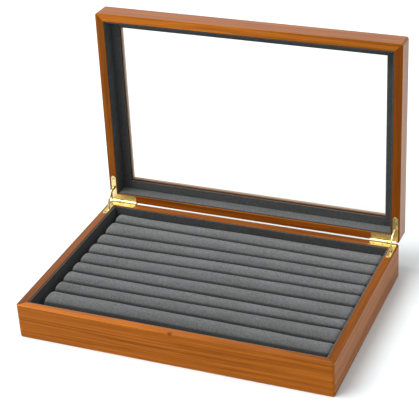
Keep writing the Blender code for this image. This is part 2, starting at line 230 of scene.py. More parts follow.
def loft(name, rings):
    """A closed body through rings of (points, z), from the bottom up."""
    count = len(rings[0][0])
    vertices = [(x, y, z) for points, z in rings for x, y in points]
    faces = [tuple(reversed(range(count)))]
    for level in range(len(rings) - 1):
        low, high = level * count, (level + 1) * count
        for i in range(count):
            j = (i + 1) % count
            faces.append((low + i, low + j, high + j, high + i))
    faces.append(tuple(range((len(rings) - 1) * count, len(rings) * count)))
    mesh = bpy.data.meshes.new(name)
    mesh.from_pydata(vertices, [], faces)
    return mesh


def rounded_panel(name, inset, bottom, thickness, corner, low_edge, high_edge, steps=4):
    """A panel inset from the outer faces, with round corners and eased edges."""
    half_x, half_y = WIDTH / 2 - inset, DEPTH / 2 - inset
    rings = []
    for low, edge in ((True, low_edge), (False, high_edge)):
        for step in range(steps + 1):
            angle = math.pi / 2 * (step if low else steps - step) / steps
            back = edge * (1 - math.sin(angle))
            rise = edge * (1 - math.cos(angle))
            z = bottom + rise if low else bottom + thickness - rise
            radius = max(corner - back, 0.1 * MM)
            rings.append((ring(half_x - back, half_y - back, radius), z))
    return loft(name, rings)


def hollow(name, inset, low, high, flare_low=None, flare_high=None, steps=4):
    """Cutter for the inside of a frame; a flare rounds the rim over at that height."""
    half_x, half_y = WIDTH / 2 - inset, DEPTH / 2 - inset
    radius = 0.3 * MM
    rings = []

    def level(out, z):
        rings.append((ring(half_x + out, half_y + out, radius + out, 2), z))

    if flare_low is None:
        level(0.0, low)
    else:
        level(INNER_EASE, low)
        for step in range(steps, -1, -1):
            angle = math.pi / 2 * step / steps
            out = INNER_EASE * (1 - math.cos(angle))
            level(out, flare_low + INNER_EASE * (1 - math.sin(angle)))
    if flare_high is None:
        level(0.0, high)
    else:
        for step in range(steps + 1):
            angle = math.pi / 2 * step / steps
            out = INNER_EASE * (1 - math.cos(angle))
            level(out, flare_high - INNER_EASE * (1 - math.sin(angle)))
        level(INNER_EASE, high)
    return add(name, loft(name, rings))


def block(name, size, centre=(0, 0, 0)):
    mesh = bpy.data.meshes.new(name)
    shape = bmesh.new()
    bmesh.ops.create_cube(shape, size=1.0)
    bmesh.ops.scale(shape, vec=size, verts=shape.verts)
    bmesh.ops.translate(shape, vec=centre, verts=shape.verts)
    shape.to_mesh(mesh)
    shape.free()
    return mesh


def turned(name, profile, axis="Z", steps=32):
    """A body turned from a profile of (radius, height), whose ends are on the axis."""
    mesh = bpy.data.meshes.new(name)
    shape = bmesh.new()
    points = [shape.verts.new((radius, 0.0, height)) for radius, height in profile]
    for first, second in zip(points, points[1:]):
        shape.edges.new((first, second))
    bmesh.ops.spin(
        shape, geom=shape.verts[:] + shape.edges[:], cent=(0, 0, 0), axis=(0, 0, 1),
        angle=2 * math.pi, steps=steps, use_merge=True,
    )
    bmesh.ops.remove_doubles(shape, verts=shape.verts, dist=0.002 * MM)
    bmesh.ops.recalc_face_normals(shape, faces=shape.faces)
    if axis == "X":
        bmesh.ops.rotate(
            shape, cent=(0, 0, 0), matrix=Matrix.Rotation(math.pi / 2, 3, "Y"), verts=shape.verts
        )
    shape.to_mesh(mesh)
    shape.free()
    return mesh


def rod_profile(radius, length, ease, steps=4):
    """Profile of a rod centred on the origin with rounded ends."""
    half = length / 2
    low = [(radius - ease + ease * math.sin(a), -half + ease * (1 - math.cos(a)))
           for a in [math.pi / 2 * step / steps for step in range(steps + 1)]]
    high = [(r, -z) for r, z in reversed(low)]
    return [(0.0, -half)] + low + high + [(0.0, half)]


def plate(name, outline, holes, thickness, ease=0.0):
    """A flat plate in XY, centred on Z, from a closed outline and holes, with eased edges."""
    curve = bpy.data.curves.new(name, "CURVE")
    curve.dimensions = "2D"
    curve.fill_mode = "BOTH"
    curve.extrude = thickness / 2 - ease
    curve.bevel_depth = ease
    curve.bevel_resolution = 2
    curve.offset = -ease
    for points in (outline, *holes):
        spline = curve.splines.new("POLY")
        spline.points.add(len(points) - 1)
        for point, (x, y) in zip(spline.points, points):
            point.co = (x, y, 0.0, 1.0)
        spline.use_cyclic_u = True
    guide = bpy.data.objects.new(name, curve)
    SCENE.collection.objects.link(guide)
    bpy.context.view_layer.update()
    evaluated = guide.evaluated_get(bpy.context.evaluated_depsgraph_get())
    mesh = bpy.data.meshes.new_from_object(evaluated)
    drop(guide)
    weld(mesh)
    return mesh


def weld(mesh, distance=0.001 * MM):
    shape = bmesh.new()
    shape.from_mesh(mesh)
    bmesh.ops.remove_doubles(shape, verts=shape.verts, dist=distance)
    bmesh.ops.dissolve_degenerate(shape, edges=shape.edges, dist=distance)
    bmesh.ops.recalc_face_normals(shape, faces=shape.faces)
    shape.to_mesh(mesh)
    shape.free()


def grid_body(name, xs, ys, zs):
    """The surface of a box as a grid through given coordinates, with shared vertices."""
    vertices, index, faces = [], {}, []

    def vertex(i, j, k):
        if (i, j, k) not in index:
            index[i, j, k] = len(vertices)
            vertices.append((xs[i], ys[j], zs[k]))
        return index[i, j, k]

    nx, ny, nz = len(xs) - 1, len(ys) - 1, len(zs) - 1
    for i in range(nx):
        for j in range(ny):
            for k in (0, nz):
                corners = [(i, j, k), (i + 1, j, k), (i + 1, j + 1, k), (i, j + 1, k)]
                faces.append([vertex(*c) for c in (corners if k else reversed(corners))])
    for i in range(nx):
        for k in range(nz):
            for j in (0, ny):
                corners = [(i, j, k), (i, j, k + 1), (i + 1, j, k + 1), (i + 1, j, k)]
                faces.append([vertex(*c) for c in (corners if j else reversed(corners))])
    for j in range(ny):
        for k in range(nz):
            for i in (0, nx):
                corners = [(i, j, k), (i, j + 1, k), (i, j + 1, k + 1), (i, j, k + 1)]
                faces.append([vertex(*c) for c in (corners if i else reversed(corners))])
    mesh = bpy.data.meshes.new(name)
    mesh.from_pydata(vertices, [], faces)
    return mesh


def spread(low, high, step, edge):
    """Coordinates from low to high: even in the middle, close together inside both edges."""
    start, end = low + edge, high - edge
    count = max(1, round((end - start) / step))
    middle = [start + (end - start) * i / count for i in range(count + 1)]
    near = [low, low + 0.15 * edge, low + 0.5 * edge]
    far = [high - 0.5 * edge, high - 0.15 * edge, high]
    return near + middle + far


def fabric_body(name, low, high, edge, step, waver=0.0, seed=0):
    """A fabric-covered strip or board: rounded edges and a slightly uneven surface."""
    axes = [spread(a, b, step, edge) for a, b in zip(low, high)]
    mesh = grid_body(name, *axes)
    low, high = Vector(low), Vector(high)
    offset = Vector((seed * 7.3, seed * 3.1, seed * 5.7))
    for vertex in mesh.vertices:
        core = Vector([min(max(c, a + edge), b - edge) for c, a, b in zip(vertex.co, low, high)])
        out = vertex.co - core
        if out.length > 1e-9:
            vertex.co = core + out.normalized() * edge
        if waver:
            direction = out.normalized() if out.length > 1e-9 else Vector()
            vertex.co += direction * waver * (noise.noise(vertex.co * 45 + offset) - 0.35)
    return mesh


# Materials.

class Shader:
    """A material built from node sockets; values may be sockets or constants."""

    def __init__(self, name):
        self.material = bpy.data.materials.new(name)
        self.material.use_nodes = True
        self.tree = self.material.node_tree
        self.tree.nodes.clear()
        self.output = self.node("ShaderNodeOutputMaterial")

    def put(self, socket, value):
        if isinstance(value, bpy.types.NodeSocket):
            self.tree.links.new(value, socket)
        else:
            socket.default_value = value

    def node(self, kind, inputs=None, **settings):
        node = self.tree.nodes.new(kind)
        for key, value in settings.items():
            setattr(node, key, value)
        for key, value in (inputs or {}).items():
            self.put(node.inputs[key], value)
        return node

    def at(self, kind="Object"):
        return self.node("ShaderNodeTexCoord").outputs[kind]

    def maths(self, operation, a, b=0.0):
        return self.node("ShaderNodeMath", {0: a, 1: b}, operation=operation).outputs[0]

    def total(self, *parts):
        """The sum of values times their weights."""
        result = 0.0
        for value, weight in parts:
            result = self.maths("ADD", result, self.maths("MULTIPLY", value, weight))
        return result

    def split(self, vector):
        return self.node("ShaderNodeSeparateXYZ", {0: vector}).outputs[:]

    def join(self, x, y, z):
        return self.node("ShaderNodeCombineXYZ", {0: x, 1: y, 2: z}).outputs[0]

    def turned(self, vector, degrees):
        angles = tuple(math.radians(d) for d in degrees)
        return self.node("ShaderNodeMapping", {"Vector": vector, "Rotation": angles}).outputs[0]

    def stretched(self, vector, factors):
        node = self.node("ShaderNodeVectorMath", {0: vector, 1: factors}, operation="MULTIPLY")
        return node.outputs[0]

    def noise(self, vector, factors, detail=2.0, roughness=0.5, distortion=0.0):
        """Noise from 0 to 1 with a given number of features per metre along each axis."""
        place = self.stretched(vector, factors)
        inputs = {"Vector": place, "Scale": 1.0, "Detail": detail, "Roughness": roughness}
        node = self.node("ShaderNodeTexNoise", {**inputs, "Distortion": distortion})
        return node.outputs["Fac"]

    def step(self, value, low, high, to_low=0.0, to_high=1.0):
        """A smooth step between two results as the value goes from low to high."""
        inputs = {"Value": value, "From Min": low, "From Max": high}
        inputs.update({"To Min": to_low, "To Max": to_high})
        return self.node("ShaderNodeMapRange", inputs, interpolation_type="SMOOTHSTEP").outputs[0]

    def ramp(self, value, *stops):
        node = self.node("ShaderNodeValToRGB", {0: value})
        elements = node.color_ramp.elements
        while len(elements) < len(stops):
            elements.new(0.5)
        for element, (position, colour) in zip(elements, stops):
            element.position = position
            element.color = (*colour, 1.0)
        return node.outputs[0]

    def mix(self, factor, a, b, mode="MIX"):
        node = self.node("ShaderNodeMix", data_type="RGBA", blend_type=mode)
        colours = [(*c, 1.0) if isinstance(c, tuple) else c for c in (a, b)]
        for socket, value in zip((node.inputs[0], node.inputs[6], node.inputs[7]), (factor, *colours)):
            self.put(socket, value)
        return node.outputs[2]

    def bump(self, height, distance, strength=1.0):
        inputs = {"Height": height, "Distance": distance, "Strength": strength}
        return self.node("ShaderNodeBump", inputs).outputs[0]

    def edges(self, low, high):
        """1 on rounded edges and 0 on faces square to the piece's axes."""
        normals = self.split(self.at("Normal"))
        sizes = [self.maths("ABSOLUTE", n) for n in normals]
        flat = self.maths("MAXIMUM", self.maths("MAXIMUM", sizes[0], sizes[1]), sizes[2])
        return self.step(self.maths("SUBTRACT", 1.0, flat), low, high)

    def finish(self, **inputs):
        surface = self.node("ShaderNodeBsdfPrincipled")
        for key, value in inputs.items():
            name = key.replace("_", " ").title().replace("Ior", "IOR")
            if isinstance(value, tuple) and len(value) == 3:
                value = (*value, 1.0)
            self.put(surface.inputs[name], value)
        self.tree.links.new(surface.outputs[0], self.output.inputs["Surface"])
        return self.material


def around_knot(s, u, v, z, knot):
    """The height, bent round a knot so that the grain flows past it, and a mask of its core."""
    knot_u, knot_v, knot_z, size = knot
    along = s.maths("DIVIDE", s.maths("SUBTRACT", u, knot_u), 5.0 * size)
    deep = s.maths("DIVIDE", s.maths("SUBTRACT", v, knot_v), 2.6 * size)
    high = s.maths("DIVIDE", s.maths("SUBTRACT", z, knot_z), 2.6 * size)
    squares = [s.maths("MULTIPLY", distance, distance) for distance in (along, deep, high)]
    near = s.maths("EXPONENT", s.total((squares[0], -1.0), (squares[2], -1.0)))
    bent = s.total((z, 1.0), (s.maths("MULTIPLY", high, near), -1.6 * size))
    core = s.maths("SQRT", s.total((squares[0], 9.0), (squares[1], 4.5), (squares[2], 4.5)))
    return bent, s.step(core, 1.5, 0.7)


def wood(name, along, seed, tone=1.0, outer=None, red=0.0, outer_red=0.0, painted_falloff=0.0, polish=1.36,
         knot=None, gloss=0.36):
    """Stained, lacquered pine with straight fine grain along one axis.

    tone is the lightness of the faces square to Z, and fade how fast it falls off along
    the piece, per metre; outer is the lightness of the sides. red and outer_red shift the
    two towards red. polish is the index of refraction of the lacquer seen at a slant.
    A knot is its place along, across and up, and its size.
    The lightnesses, the falloff and the shifts towards red are painted light and shade, for how the light
    falls on each face and along the piece.
    """
    s = Shader(name)
    x, y, z = s.split(s.at())
    u, v = (x, y) if along == "X" else (y, x)
    if knot:
        z, dark_knot = around_knot(s, u, v, z, knot)
    place = s.join(s.maths("ADD", u, seed * 1.37), v, s.maths("ADD", z, seed * 0.21))
    warp = s.maths("MULTIPLY", s.noise(place, (7, 14, 14), 1.0), 4.5 * MM)
    drift = s.join(0.0, warp, warp)
    place = s.node("ShaderNodeVectorMath", {0: place, 1: drift}, operation="ADD").outputs[0]

    # Growth lines, wide bands, blotches of stain and single fibres.
    lines = s.noise(place, (5, 240, 560), 2.5, 0.55)
    fibres = s.noise(place, (42, 2100, 2900), 2.0, 0.6)
    bands = s.noise(place, (2.6, 28, 62), 2.0, 0.5)
    cloud = s.noise(place, (11, 24, 30), 3.0, 0.6, 0.4)
    value = s.total((lines, 0.80), (bands, 0.09), (cloud, 0.13), (fibres, 0.28))
    stops = ((0.48, 0.66), (0.58, 0.87), (0.65, 1.0), (0.74, 1.16), (0.84, 1.38))
    colour = s.ramp(value, *((at, (0.30 * k, 0.086 * k ** 1.1, 0.0085 * k ** 1.3)) for at, k in stops))
    pores = s.step(s.noise(place, (70, 1500, 3300), 1.0), 0.70, 0.78)
    colour = s.mix(s.maths("MULTIPLY", pores, 0.35), colour, (0.10, 0.028, 0.006))
    if knot:
        colour = s.mix(s.maths("MULTIPLY", dark_knot, 0.80), colour, (0.085, 0.024, 0.006))

    # Stain rubbed thin on the rounded edges, with a painted highlight: lighter along the top edges, none
    # on the upright corners.
    normal = [s.maths("ABSOLUTE", part) for part in s.split(s.at("Normal"))]
    up, aside = normal[2], normal[1 if along == "X" else 0]
    lighter_edges = s.maths("MULTIPLY", s.edges(0.04, 0.24), s.step(cloud, 0.25, 0.75, 0.30, 0.75))
    lighter_edges = s.maths("MULTIPLY", lighter_edges, s.step(up, 0.1, 0.4))
    colour = s.mix(lighter_edges, colour, (0.66, 0.26, 0.060))

    # Painted light and shade: each face made lighter, darker or redder as the light falls on it, falling
    # off along the piece.
    top_lightness = s.maths("SUBTRACT", tone, s.maths("MULTIPLY", u, painted_falloff * tone))
    outer = outer or tone
    side = s.step(aside, 0.75, 0.97, min(outer, 1.1), outer)
    lightness = s.step(up, 0.35, 0.75, side, top_lightness)
    shift = s.step(up, 0.35, 0.75, outer_red, red)
    more, less = s.maths("ADD", 1.0, shift), s.maths("SUBTRACT", 1.0, shift)
    tint = s.join(s.maths("MULTIPLY", lightness, more), lightness, s.maths("MULTIPLY", lightness, less))
    colour = s.mix(1.0, colour, tint, "MULTIPLY")

    # Painted light on the lip round the window: its rim made paler and greyer.
    from_sides = s.maths("SUBTRACT", WIDTH / 2, s.maths("ABSOLUTE", x))
    from_ends = s.maths("SUBTRACT", DEPTH / 2, s.maths("ABSOLUTE", y))
    inset = s.maths("MINIMUM", from_sides, from_ends)
    painted_rim_light = s.step(inset, LIP_REACH - 1.5 * MM, LIP_REACH - 1.1 * MM, 0.0, 0.78)
    colour = s.mix(painted_rim_light, colour, (0.50, 0.36, 0.25))

    slant = s.node("ShaderNodeLayerWeight", {"Blend": 0.5}).outputs["Facing"]
    return s.finish(
        base_color=colour,
        roughness=s.step(s.maths("ADD", fibres, bands), 0.6, 1.5, gloss + 0.10, gloss - 0.04),
        ior=s.step(slant, 0.20, 0.66, 1.10, polish),
        coat_weight=s.step(slant, 0.20, 0.70, 0.0, 0.12),
        coat_roughness=s.step(cloud, 0.2, 0.8, 0.12, 0.22),
        normal=s.bump(s.total((lines, 0.6), (fibres, 0.4)), 0.05 * MM),
    )


def roll_fabric(name, seed, tone=1.0, crest=None, lit_before=None):
    """Grey velvet with a short nap, brushed here and there in slanting strokes.

    Its colour carries a painted sheen, darker seen straight on than at a slant, and painted shade below
    the crest of a roll, where the next roll shades it; the flank ahead of lit_before has no roll before it
    and gets less of that shade.
    """
    s = Shader(name)
    shift = s.node("ShaderNodeVectorMath", {0: s.at(), 1: (seed * 0.9, seed * 0.4, 0)}, operation="ADD")
    place = shift.outputs[0]
    nap = s.noise(place, (620, 620, 620), 3.0, 0.62)
    strokes = s.noise(s.turned(place, (0, 0, 38)), (210, 900, 600), 3.0, 0.65, 0.3)
    patches = s.noise(place, (22, 48, 48), 2.0, 0.5)
    fine = s.noise(place, (2900, 2900, 2900), 2.0)
    value = s.total((nap, 0.42), (strokes, 0.44), (patches, 0.14))
    base = [tone * c for c in (0.122, 0.123, 0.125)]
    colour = s.ramp(
        value,
        (0.34, tuple(c * 0.60 for c in base)),
        (0.50, tuple(base)),
        (0.66, tuple(c * 1.42 for c in base)),
    )
    slant = s.node("ShaderNodeLayerWeight", {"Blend": 0.5}).outputs["Facing"]
    # Painted sheen: the colour is darker seen straight on than at a slant.
    painted_sheen_and_shade = s.step(slant, 0.02, 0.50, 0.80, 1.06)
    if crest:
        _, y, z = s.split(s.at())
        # Painted shade below the crest, where the next roll shades it; less on the first roll's open
        # flank.
        depth = s.step(z, crest - 5.0 * MM, crest - 2.7 * MM, 0.32, 1.0)
        if lit_before:
            flank = s.step(z, crest - 4.8 * MM, crest - 2.4 * MM, 0.36, 0.80)
            ahead = s.step(y, lit_before - 2 * MM, lit_before + 2 * MM, 1.0, 0.0)
            depth = s.maths("MAXIMUM", depth, s.maths("MULTIPLY", flank, ahead))
        painted_sheen_and_shade = s.maths("MULTIPLY", painted_sheen_and_shade, depth)
    colour = s.mix(1.0, colour, s.join(painted_sheen_and_shade, painted_sheen_and_shade, painted_sheen_and_shade), "MULTIPLY")
    height = s.total((nap, 0.7), (fine, 0.6))
    return s.finish(
        base_color=colour,
        roughness=s.step(nap, 0.3, 0.7, 0.84, 0.97),
        specular_ior_level=0.15,
        sheen_weight=0.22,
        sheen_roughness=0.38,
        sheen_tint=(0.86, 0.88, 0.92),
        normal=s.bump(height, 0.13 * MM, 0.9),
    )


def brass(name, seed, brushed=True):
    """Polished brass with faint brush lines, light tarnish, and grime with painted shade in its hollows.
    """
    s = Shader(name)
    place = s.at()
    scratches = s.noise(place, (300 + seed, 5200, 5200) if brushed else (2600, 2600, 2600), 2.0, 0.6)
    tarnish = s.noise(place, (160, 160, 160), 3.0, 0.6)
    colour = s.ramp(
        tarnish,
        (0.30, (0.80, 0.65, 0.26)),
        (0.50, (0.87, 0.73, 0.34)),
        (0.72, (0.91, 0.78, 0.39)),
    )
    lighter_edges = s.maths("MULTIPLY", s.edges(0.05, 0.25), 0.5)
    colour = s.mix(lighter_edges, colour, (0.96, 0.82, 0.46))
    # Darker in the hollows and the gaps round the barrel and screws: grime, and painted shade.
    open_to_air = s.node("ShaderNodeAmbientOcclusion", {"Distance": 2.4 * MM}, samples=16).outputs["AO"]
    grime_and_shade = s.step(open_to_air, 0.42, 0.80, 0.85, 0.0)
    colour = s.mix(grime_and_shade, colour, (0.20, 0.105, 0.022))
    rough = s.step(s.maths("ADD", scratches, tarnish), 0.6, 1.4, 0.26, 0.35)
    return s.finish(
        base_color=colour,
        metallic=0.94,
        roughness=s.maths("ADD", rough, s.maths("MULTIPLY", grime_and_shade, 0.2)),
    )


def clear_glass(name):
    """Clear float glass: lets light through, mirrors at a slant, greenish on its edges."""
    s = Shader(name)
    normals = s.split(s.at("Normal"))
    face = s.step(s.maths("ABSOLUTE", normals[2]), 0.5, 0.9)
    smear = s.noise(s.at(), (14, 14, 14), 3.0, 0.6)
    tint = s.mix(face, (0.62, 0.80, 0.74), (0.985, 0.99, 0.988))
    through = s.node("ShaderNodeBsdfTransparent", {"Color": tint})
    mirror = s.node("ShaderNodeBsdfGlossy", {"Roughness": s.step(smear, 0.3, 0.8, 0.0, 0.05)})
    inside = s.node("ShaderNodeNewGeometry").outputs["Backfacing"]
    fresnel = s.node("ShaderNodeFresnel", {"IOR": s.step(inside, 0.0, 1.0, 1.46, 1 / 1.46)}).outputs[0]
    mixed = s.node("ShaderNodeMixShader", {0: fresnel, 1: through.outputs[0], 2: mirror.outputs[0]})
    s.tree.links.new(mixed.outputs[0], s.output.inputs["Surface"])
    return s.material


# Frames: a rounded block, hollowed, and split at the mitres.

def mitre_wedge(side, bottom, height):
    """Cutter that keeps one rail of a frame, ending at both mitres."""
    along_x = side in ("front", "back")
    span = WIDTH if along_x else DEPTH
    shrink = MITRE_GAP / math.sqrt(2)
    mesh = block("wedge", (1.0, 1.0, height + 2 * MARGIN))
    for vertex in mesh.vertices:
        outer = vertex.co.y < 0
        half = span / 2 + MARGIN if outer else span / 2 - MITRE_REACH
        vertex.co.x = math.copysign(half - shrink, vertex.co.x)
        vertex.co.y = -MARGIN if outer else MITRE_REACH
    turn = {"front": 0.0, "right": 0.5, "back": 1.0, "left": 1.5}[side] * math.pi
    face = (DEPTH if along_x else WIDTH) / 2
    wedge = add("wedge", mesh)
    wedge.location = (face * math.sin(turn), -face * math.cos(turn), bottom + height / 2)
    wedge.rotation_euler = (0.0, 0.0, turn)
    return wedge


def frame_rails(prefix, bottom, height, edges, hollows, cutters, woods, place=None):
    """Four rails of a frame, cut by its hollows and, at the back and sides, for the hinges."""
    for side in ("front", "right", "back", "left"):
        mesh = rounded_panel("rail", 0.0, bottom, height, CORNER_RADIUS, *edges, steps=5)
        rail = add("rail", mesh)
        wedge = mitre_wedge(side, bottom, height)
        for hollow_cutter in hollows:
            boolean(rail, hollow_cutter)
        boolean(rail, wedge, "INTERSECT")
        if side != "front":
            for word, group in cutters.items():
                if side in (word, "back"):
                    for cutter in group:
                        boolean(rail, cutter)
        applied(rail)
        weld(rail.data)
        rail.data.materials.append(woods[side])
        shade(rail)
        drop(wedge)
        finish(rail, f"{prefix}_{side}_rail", place)
    drop(*hollows)


def strips(prefix, inner, thickness, bottom, top, painted_shading, place=None, waver=0.12 * MM, edge=0.55 * MM):
    """Four fabric strips round the inside, measured from the outer faces."""
    gap = 0.12 * MM
    long_x = WIDTH / 2 - inner - thickness - gap
    short_y = DEPTH / 2 - inner
    x, y = WIDTH / 2 - inner, DEPTH / 2 - inner
    spans = {
        "front": ((-long_x, -y), (long_x, -y + thickness)),
        "back": ((-long_x, y - thickness), (long_x, y)),
        "left": ((-x, -short_y), (-x + thickness, short_y)),
        "right": ((x - thickness, -short_y), (x, short_y)),
    }
    for seed, (side, (low, high)) in enumerate(spans.items()):
        mesh = fabric_body(side, (*low, bottom), (*high, top), edge, 4 * MM, waver, seed + len(prefix))
        # Each side's lightness is painted light and shade, for how the light falls on that side.
        velvet = roll_fabric(f"{prefix}_{side}", seed + 10 + len(prefix), painted_shading[side])
        strip = add(side, mesh, velvet)
        shade(strip, sharp=60)
        finish(strip, f"{prefix}_{side}", place)


# Hinges. Outlines have the pivot line at y = 0 and x measured from the middle
# of the tray to the right; side -1 mirrors them to the left.

def leaf_outline(side, arm_length, knuckle, grow=0.0):
    """An L: an arm forwards along the side rail and one along the back rail."""
    outer = ARM_CENTRE + ARM_WIDTH / 2 + grow
    inner = ARM_CENTRE - ARM_WIDTH / 2 - grow
    tip = ARM_WIDTH / 2 - arm_length
    near, far = knuckle
    inboard = -KNUCKLE_OVERLAP if near < KNUCKLE_SPLIT else -KNUCKLE_CLEARANCE
    outboard = -KNUCKLE_OVERLAP if far > KNUCKLE_SPLIT else -KNUCKLE_CLEARANCE
    points = [(outer, outboard)]
    points += arc((ARM_CENTRE, tip), ARM_WIDTH / 2 + grow, 0.0, -math.pi, 16)
    points += [(inner, -BACK_ARM_WIDTH - grow), (BACK_ARM_END - grow, -BACK_ARM_WIDTH - grow)]
    points += [(BACK_ARM_END - grow, inboard)]
    if inboard != outboard:
        points += [(KNUCKLE_SPLIT, inboard), (KNUCKLE_SPLIT, outboard)]
    return [(side * x, y) for x, y in points]


def slot_outline(side):
    half = SLOT_WIDTH / 2
    near = arc((ARM_CENTRE, -SLOT_NEAR - half), half, 0.0, math.pi, 8)
    far = arc((ARM_CENTRE, -SLOT_FAR + half), half, math.pi, 2 * math.pi, 8)
    return [(side * x, y) for x, y in near + far]


def screw_places(side, arm_length):
    places = [(ARM_CENTRE, SCREW_FROM_ARM_TIP - arm_length)]
    places += [(x, -BACK_SCREW_DEPTH) for x in BACK_SCREWS]
    return [(side * x, y) for x, y in places]


def rod(name, side, radius, near, far, ease=None):
    """A turned rod on the pivot line, between two distances from the middle."""
    mesh = turned(name, rod_profile(radius, far - near, ease or 0.05 * MM), "X")
    mesh.transform(Matrix.Translation(PIVOT + Vector((side * (near + far) / 2, 0, 0))))
    return add(name, mesh)


def countersink_profile():
    """Profile of the cutter for a screw: a clearance hole, a cone and a short rim."""
    hole = SCREW_SHANK_RADIUS + 0.25 * MM
    cone, rim = SCREW_HEAD_RADIUS + 0.12 * MM, SCREW_HEAD_RADIUS + 0.22 * MM
    below, above = -3 * MM, MM
    profile = [(0, below), (hole, below), (hole, -0.95 * MM), (cone, -0.18 * MM)]
    return profile + [(rim, 0.01 * MM), (rim, above), (0, above)]


def hinge_leaf(node, side, up, arm_length, knuckle, material, place):
    """One leaf of the base (up is -1) or the lid (up is 1): a plate with a bored knuckle."""
    mesh = plate(node, leaf_outline(side, arm_length, knuckle), (slot_outline(side),),
                 PLATE_THICKNESS, PLATE_EASE)
    face = up * (LID_FACE - BASE_HEIGHT) / 2
    height = up * (LID_FACE - BASE_HEIGHT + PLATE_THICKNESS) / 2
    mesh.transform(Matrix.Translation(PIVOT + Vector((0.0, 0.0, height))))
    leaf = add(node, mesh)
    sinks = []
    for x, y in screw_places(side, arm_length):
        sink = add("sink", turned("sink", countersink_profile()))
        sink.location = PIVOT + Vector((x, y, face))
        sink.rotation_euler = (math.pi if up > 0 else 0.0, 0.0, 0.0)
        sinks.append(sink)
        boolean(leaf, sink)
    # The plate is made final before the barrel joins it: cut in one go, it stays open.
    applied(leaf)
    weld(leaf.data)
    near, far = knuckle
    barrel = rod("barrel", side, KNUCKLE_RADIUS, near, far, KNUCKLE_EASE)
    bore = rod("bore", side, PIN_RADIUS + BORE_GAP, near - MM, far + MM)
    boolean(leaf, barrel, "UNION")
    boolean(leaf, bore)
    applied(leaf)
    weld(leaf.data)
    leaf.data.materials.append(material)
    shade(leaf, sharp=38)
    drop(barrel, bore, *sinks)
    finish(leaf, node, place)


def screw_master(material):
    """A countersunk screw with a slightly domed head and a cross recess."""
    head, shank = SCREW_HEAD_RADIUS, SCREW_SHANK_RADIUS
    profile = [(0.0, 0.0), (0.6 * head, -0.02 * MM), (0.9 * head, -0.07 * MM), (head, -0.16 * MM)]
    profile += [(head, -0.30 * MM), (shank, -1.10 * MM)]
    turn = -1.3 * MM
    while turn > -SCREW_LENGTH + 1.9 * MM:
        profile += [(0.72 * shank, turn), (shank, turn - 0.2 * MM), (0.72 * shank, turn - 0.4 * MM)]
        turn -= 0.6 * MM
    profile += [(0.6 * shank, -SCREW_LENGTH + 1.4 * MM), (0.0, -SCREW_LENGTH)]
    screw = add("screw", turned("screw", profile, steps=24))
    blades = []
    for angle in (0.0, math.pi / 2):
        blade = add("blade", block("blade", (1.9 * MM, 0.42 * MM, 1.0 * MM)))
        blade.rotation_euler = (0.0, 0.0, angle)
        blades.append(blade)
        boolean(screw, blade)
    applied(screw)
    screw.data.materials.append(material)
    shade(screw, sharp=30)
    drop(*blades)
    return screw


def hinge_screws(master, prefix, side, up, arm_length, place):
    """The three screws of a leaf, each turned as the driver left it."""
    face = up * ((LID_FACE - BASE_HEIGHT) / 2 + SCREW_RECESS)
    for number, (x, y) in enumerate(screw_places(side, arm_length), start=1):
        screw = add(prefix, master.data)
        flip = Matrix.Rotation(math.pi if up > 0 else 0.0, 4, "X")
        spin = Matrix.Rotation(0.4 + 0.9 * number + 0.5 * side + 0.3 * up, 4, "Z")
        at = Matrix.Translation(PIVOT + Vector((x, y, face)))
        finish(screw, f"{prefix}_screw_{number}", (place or Matrix()) @ at @ flip @ spin)


def leaf_cutters(side, up, arm_length):
    """Wood cutters for one leaf: its recess, the barrel's relief, the stay's pocket and holes."""
    depth = PLATE_THICKNESS + INLAY_GAP
    both = (KNUCKLE_INNER_END, KNUCKLE_OUTER_END)
    outline = leaf_outline(side, arm_length, both, INLAY_GAP)
    face = Vector((0.0, 0.0, up * (LID_FACE - BASE_HEIGHT) / 2))
    recess = add("recess", plate("recess", outline, (), 2 * depth))
    recess.location = PIVOT + face
    relief = rod("relief", side, KNUCKLE_RADIUS + INLAY_GAP, both[0] - INLAY_GAP, both[1] + INLAY_GAP)
    pocket = add("pocket", block("pocket", (POCKET_WIDTH, POCKET_FAR - POCKET_NEAR, POCKET_DEPTH)))
    middle = -(POCKET_NEAR + POCKET_FAR) / 2
    pocket.location = PIVOT + Vector((side * ARM_CENTRE, middle, up * POCKET_DEPTH / 2))
    holes = []
    for x, y in screw_places(side, arm_length):
        profile = rod_profile(SCREW_SHANK_RADIUS + 0.3 * MM, 2 * (SCREW_LENGTH + 0.5 * MM), 0.05 * MM)
        hole = add("hole", turned("hole", profile, steps=16))
        hole.location = PIVOT + Vector((x, y, 0.0))
        holes.append(hole)
    return [recess, relief, pocket, *holes]


def hinge_cutters(up, arm_length):
    """Wood cutters for the left and right leaf of the base (up is -1) or the lid (up is 1)."""
    return {word: leaf_cutters(side, up, arm_length) for word, side in SIDES}


